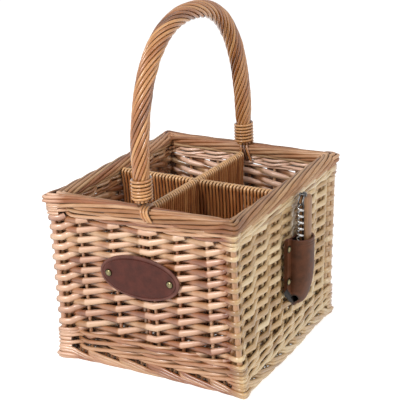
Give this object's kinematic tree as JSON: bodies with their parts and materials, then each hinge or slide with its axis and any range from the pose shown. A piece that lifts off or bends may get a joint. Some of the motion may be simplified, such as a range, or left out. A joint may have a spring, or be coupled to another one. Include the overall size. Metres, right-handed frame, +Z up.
{
  "type": "wine bottle basket",
  "caption": "Rectangular woven willow carrier with upright divider panels, a roped arched handle, an oval leather badge and a folding corkscrew in a riveted leather sheath.",
  "frame": {"origin": "middle of the underside of the base, on the surface the basket stands on", "axes": "+Z up, -Y to the front with the badge, +X to the side with the corkscrew; the handle arches from front to back"},
  "size_m": [0.2651, 0.2746, 0.4157],
  "materials": {
    "willow": "peeled buff willow, satin",
    "divider_willow": "darker willow rods, satin",
    "handle_willow": "twisted willow rods and cane, satin",
    "brown_leather": "smooth brown leather, low sheen",
    "antique_brass": "antiqued, polished on the dome",
    "polished_steel": "bright polished steel",
    "scale_wood": "oiled, satin"
  },
  "bodies": {
    "basket": {"base_panel": "willow", "foot_border": "willow", "bottom_waling": "willow", "top_waling": "willow", "rim_border": "willow", "front_wall_weave": "willow", "right_wall_weave": "willow", "back_wall_weave": "willow", "left_wall_weave": "willow", "corner_post_1": "willow", "corner_post_2": "willow", "corner_post_3": "willow", "corner_post_4": "willow", "front_stake_1": "willow", "front_stake_2": "willow", "front_stake_3": "willow", "front_stake_4": "willow", "front_stake_5": "willow", "right_stake_1": "willow", "right_stake_2": "willow", "right_stake_3": "willow", "right_stake_4": "willow", "right_stake_5": "willow", "back_stake_1": "willow", "back_stake_2": "willow", "back_stake_3": "willow", "back_stake_4": "willow", "back_stake_5": "willow", "left_stake_1": "willow", "left_stake_2": "willow", "left_stake_3": "willow", "left_stake_4": "willow", "left_stake_5": "willow", "long_divider_panel": "divider_willow", "long_divider_rail": "divider_willow", "cross_divider_left_panel": "divider_willow", "cross_divider_left_rail": "divider_willow", "cross_divider_right_panel": "divider_willow", "cross_divider_right_rail": "divider_willow", "handle_bow": "handle_willow", "handle_roping": "handle_willow", "front_handle_binding": "handle_willow", "back_handle_binding": "handle_willow", "front_handle_lapping": "handle_willow", "back_handle_lapping": "handle_willow", "badge_plate": "brown_leather", "corkscrew_sheath": "brown_leather", "badge_rivet_left": "antique_brass", "badge_rivet_right": "antique_brass", "sheath_rivet_lower": "antique_brass", "sheath_rivet_upper": "antique_brass"},
    "corkscrew": {"corkscrew_spine": "polished_steel", "corkscrew_scale_inner": "scale_wood", "corkscrew_scale_outer": "scale_wood", "corkscrew_pivot_pin": "polished_steel"},
    "worm": {"worm_yoke": "polished_steel", "corkscrew_worm": "polished_steel"}
  },
  "joints": [
    {"name": "corkscrew_lift", "type": "slide", "parent": "basket", "child": "corkscrew", "axis": [0.0261, 0, 0.9997], "range_m": [0, 0.1]},
    {"name": "worm_swing", "type": "hinge", "parent": "corkscrew", "child": "worm", "pos_m": [0.13078, 0.013, 0.1987], "axis": [-0.9997, 0, 0.0261], "range_deg": [0, 90]}
  ]
}
